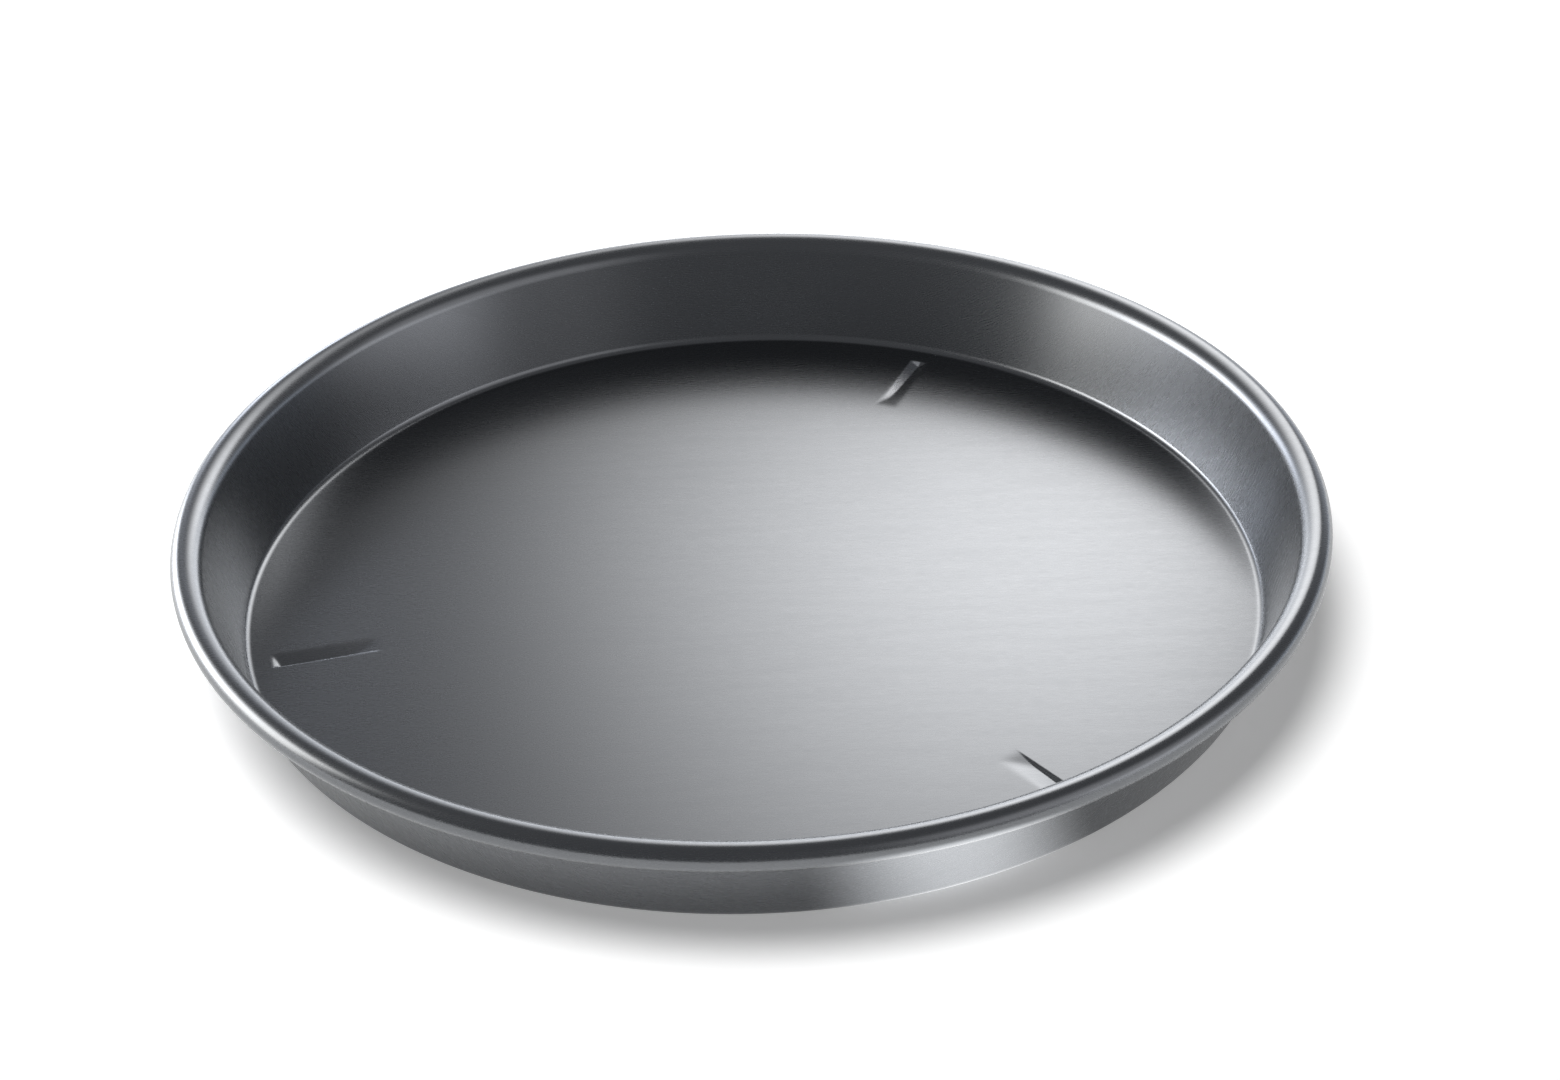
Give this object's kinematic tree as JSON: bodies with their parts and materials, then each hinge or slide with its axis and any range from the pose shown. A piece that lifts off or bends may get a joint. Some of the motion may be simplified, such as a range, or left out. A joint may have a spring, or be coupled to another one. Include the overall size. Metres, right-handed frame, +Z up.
{
  "type": "pizza pan",
  "caption": "Round shallow metal baking pan with a flat floor, a leaning wall, a rolled rim and pressed radial ribs near the corner.",
  "frame": {"origin": "on the pan's axis, level with the lowest points of the pressed ribs that it stands on", "axes": "+Z up along the pan's axis; +X to the right and +Y away from the viewer as the pan lies in the picture"},
  "size_m": [0.3764, 0.3764, 0.0392],
  "materials": {
    "pan_body": "brushed sheet with a satin hard-anodised grey surface",
    "rim_wire": "plain drawn steel wire"
  },
  "bodies": {
    "root": {"pan_body": "pan_body", "rim_wire": "rim_wire"}
  },
  "joints": []
}
